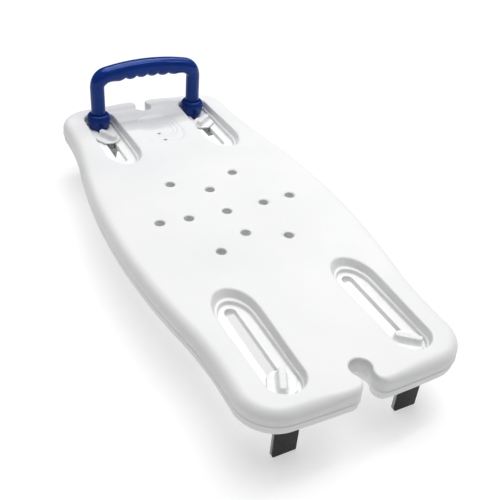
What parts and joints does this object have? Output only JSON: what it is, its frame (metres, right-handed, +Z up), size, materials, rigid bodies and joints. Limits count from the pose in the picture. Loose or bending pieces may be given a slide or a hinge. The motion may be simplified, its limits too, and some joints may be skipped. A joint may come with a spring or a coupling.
{
  "type": "bath transfer board",
  "caption": "Moulded board that bridges a bath tub, with a dished drained seat, slotted clamp brackets with rubber pads, hose notches and a grab handle.",
  "frame": {"origin": "under the middle of the board, level with the lower edges of the four brackets", "axes": "+X along the board towards the grab handle, +Y across the board, +Z up"},
  "size_m": [0.6898, 0.3254, 0.1859],
  "materials": {
    "white_shell": "fine moulded texture, satin",
    "knob_plastic": "smooth moulded",
    "washer_nylon": "smooth",
    "blue_grip": "glossy",
    "blue_foot": "glossy",
    "bracket_plastic": "satin grey",
    "pad_rubber": "matt",
    "fastener_steel": "zinc plated",
    "insert_brass": "machined"
  },
  "bodies": {
    "board": {"seat_board": "white_shell", "handle_grip": "blue_grip", "handle_foot_left": "blue_foot", "handle_foot_right": "blue_foot", "leg_insert_left": "insert_brass", "leg_insert_right": "insert_brass", "handle_washer_left": "fastener_steel", "handle_washer_right": "fastener_steel", "handle_bolt_left": "fastener_steel", "handle_bolt_right": "fastener_steel"},
    "slider_near_left": {"washer_near_left": "washer_nylon"},
    "hanger_near_left": {"bracket_near_left": "bracket_plastic", "clamp_bolt_near_left": "fastener_steel", "pad_near_left": "pad_rubber"},
    "knob_near_left": {"knob_near_left": "knob_plastic", "knob_insert_near_left": "insert_brass"},
    "slider_near_right": {"washer_near_right": "washer_nylon"},
    "hanger_near_right": {"bracket_near_right": "bracket_plastic", "clamp_bolt_near_right": "fastener_steel", "pad_near_right": "pad_rubber"},
    "knob_near_right": {"knob_near_right": "knob_plastic", "knob_insert_near_right": "insert_brass"},
    "slider_far_left": {"washer_far_left": "washer_nylon"},
    "hanger_far_left": {"bracket_far_left": "bracket_plastic", "clamp_bolt_far_left": "fastener_steel", "pad_far_left": "pad_rubber"},
    "knob_far_left": {"knob_far_left": "knob_plastic", "knob_insert_far_left": "insert_brass"},
    "slider_far_right": {"washer_far_right": "washer_nylon"},
    "hanger_far_right": {"bracket_far_right": "bracket_plastic", "clamp_bolt_far_right": "fastener_steel", "pad_far_right": "pad_rubber"},
    "knob_far_right": {"knob_far_right": "knob_plastic", "knob_insert_far_right": "insert_brass"}
  },
  "joints": [
    {"name": "slide_near_left", "type": "slide", "parent": "board", "child": "slider_near_left", "axis": [1, 0, 0], "range_m": [0, 0.11]},
    {"name": "turn_near_left", "type": "hinge", "parent": "slider_near_left", "child": "knob_near_left", "pos_m": [-0.295, 0.0795, 0.0836], "axis": [0, 0, 1], "range_deg": [0, 720.5]},
    {"name": "drop_near_left", "type": "slide", "parent": "slider_near_left", "child": "hanger_near_left", "axis": [0, 0, -1], "range_m": [0, 0.002]},
    {"name": "slide_near_right", "type": "slide", "parent": "board", "child": "slider_near_right", "axis": [1, 0, 0], "range_m": [0, 0.11]},
    {"name": "turn_near_right", "type": "hinge", "parent": "slider_near_right", "child": "knob_near_right", "pos_m": [-0.295, -0.0795, 0.0836], "axis": [0, 0, 1], "range_deg": [0, 720.5]},
    {"name": "drop_near_right", "type": "slide", "parent": "slider_near_right", "child": "hanger_near_right", "axis": [0, 0, -1], "range_m": [0, 0.002]},
    {"name": "slide_far_left", "type": "slide", "parent": "board", "child": "slider_far_left", "axis": [-1, 0, 0], "range_m": [-0.009, 0.056]},
    {"name": "turn_far_left", "type": "hinge", "parent": "slider_far_left", "child": "knob_far_left", "pos_m": [0.256, 0.0795, 0.0836], "axis": [0, 0, 1], "range_deg": [0, 720.5]},
    {"name": "drop_far_left", "type": "slide", "parent": "slider_far_left", "child": "hanger_far_left", "axis": [0, 0, -1], "range_m": [0, 0.002]},
    {"name": "slide_far_right", "type": "slide", "parent": "board", "child": "slider_far_right", "axis": [-1, 0, 0], "range_m": [-0.009, 0.056]},
    {"name": "turn_far_right", "type": "hinge", "parent": "slider_far_right", "child": "knob_far_right", "pos_m": [0.256, -0.0795, 0.0836], "axis": [0, 0, 1], "range_deg": [0, 720.5]},
    {"name": "drop_far_right", "type": "slide", "parent": "slider_far_right", "child": "hanger_far_right", "axis": [0, 0, -1], "range_m": [0, 0.002]}
  ],
  "couplings": [
    {"joint": "turn_near_left", "follows": "drop_near_left", "rad_per_m": 6283.2},
    {"joint": "turn_near_right", "follows": "drop_near_right", "rad_per_m": 6283.2},
    {"joint": "turn_far_left", "follows": "drop_far_left", "rad_per_m": 6283.2},
    {"joint": "turn_far_right", "follows": "drop_far_right", "rad_per_m": 6283.2}
  ]
}
